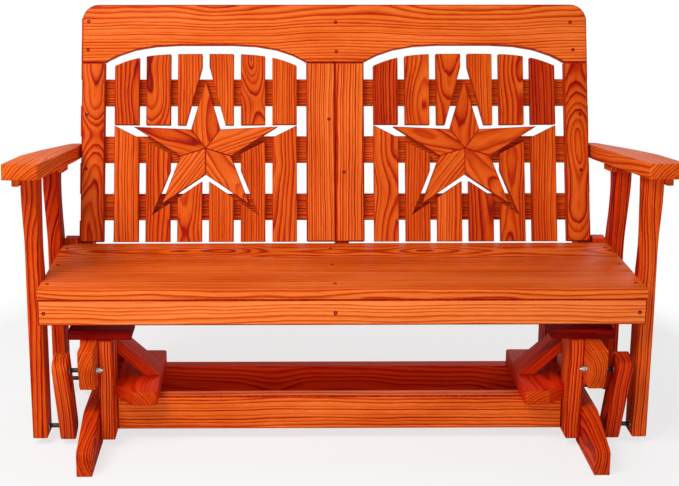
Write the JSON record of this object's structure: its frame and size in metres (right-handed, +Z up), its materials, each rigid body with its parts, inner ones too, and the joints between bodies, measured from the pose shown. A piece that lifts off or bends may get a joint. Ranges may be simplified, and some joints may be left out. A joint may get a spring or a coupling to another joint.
{
  "type": "porch glider seat",
  "caption": "Slatted wooden porch glider: a bench with star-cut back panels and sloping arms, hung on swing links from its own floor base.",
  "frame": {"origin": "centre of the footprint at floor level, under the middle of the bench", "axes": "+X along the seat to the right as one faces it from the front, +Y from the front to the back, +Z up"},
  "size_m": [1.6614, 0.7806, 1.0907],
  "materials": {
    "stained_pine": "orange-brown penetrating stain, satin",
    "zinc_steel": "zinc plated"
  },
  "bodies": {
    "base": {"front_stretcher": "stained_pine", "rear_stretcher": "stained_pine", "left_foot": "stained_pine", "left_head_rail": "stained_pine", "left_plate": "stained_pine", "left_strut": "stained_pine", "left_front_post": "stained_pine", "left_front_cap": "stained_pine", "front_left_hanger_bolt": "zinc_steel", "left_rear_post": "stained_pine", "left_rear_cap": "stained_pine", "rear_left_hanger_bolt": "zinc_steel", "right_foot": "stained_pine", "right_head_rail": "stained_pine", "right_plate": "stained_pine", "right_strut": "stained_pine", "right_front_post": "stained_pine", "right_front_cap": "stained_pine", "front_right_hanger_bolt": "zinc_steel", "right_rear_post": "stained_pine", "right_rear_cap": "stained_pine", "rear_right_hanger_bolt": "zinc_steel"},
    "seat": {"apron": "stained_pine", "seat_slat_1": "stained_pine", "seat_slat_2": "stained_pine", "seat_slat_3": "stained_pine", "centre_rail": "stained_pine", "top_rail": "stained_pine", "back_rail_1": "stained_pine", "back_rail_2": "stained_pine", "back_rail_3": "stained_pine", "centre_upright": "stained_pine", "left_side_rail": "stained_pine", "left_arm": "stained_pine", "left_centre_stile": "stained_pine", "left_stile": "stained_pine", "left_upright": "stained_pine", "left_star": "stained_pine", "left_inner_back_slat": "stained_pine", "left_outer_back_slat": "stained_pine", "left_front_leg": "stained_pine", "front_left_leg_bolt": "zinc_steel", "left_rear_leg": "stained_pine", "rear_left_leg_bolt": "zinc_steel", "right_side_rail": "stained_pine", "right_arm": "stained_pine", "right_centre_stile": "stained_pine", "right_stile": "stained_pine", "right_upright": "stained_pine", "right_star": "stained_pine", "right_inner_back_slat": "stained_pine", "right_outer_back_slat": "stained_pine", "right_front_leg": "stained_pine", "front_right_leg_bolt": "zinc_steel", "right_rear_leg": "stained_pine", "rear_right_leg_bolt": "zinc_steel"},
    "front_left_link": {"front_left_link": "stained_pine"},
    "front_right_link": {"front_right_link": "stained_pine"},
    "rear_left_link": {"rear_left_link": "stained_pine"},
    "rear_right_link": {"rear_right_link": "stained_pine"}
  },
  "joints": [
    {"name": "front_left_swing", "type": "hinge", "parent": "base", "child": "front_left_link", "pos_m": [-0.70739, -0.26327, 0.22733], "axis": [1, 0, 0], "range_deg": [-10, 10]},
    {"name": "front_right_swing", "type": "hinge", "parent": "base", "child": "front_right_link", "pos_m": [0.70739, -0.26327, 0.22733], "axis": [1, 0, 0], "range_deg": [-10, 10]},
    {"name": "rear_left_swing", "type": "hinge", "parent": "base", "child": "rear_left_link", "pos_m": [-0.70739, 0.18377, 0.22733], "axis": [1, 0, 0], "range_deg": [-11, 11]},
    {"name": "rear_right_swing", "type": "hinge", "parent": "base", "child": "rear_right_link", "pos_m": [0.70739, 0.18377, 0.22733], "axis": [1, 0, 0], "range_deg": [-11, 11]},
    {"name": "seat_glide", "type": "hinge", "parent": "front_left_link", "child": "seat", "pos_m": [-0.70739, -0.19467, 0.0458], "axis": [1, 0, 0], "range_deg": [-16, 16]}
  ],
  "couplings": [
    {"joint": "front_right_swing", "follows": "front_left_swing", "ratio": 1},
    {"joint": "rear_left_swing", "follows": "front_left_swing", "ratio": 1.006},
    {"joint": "rear_right_swing", "follows": "front_left_swing", "ratio": 1.006},
    {"joint": "seat_glide", "follows": "front_left_swing", "ratio": -1.45}
  ]
}
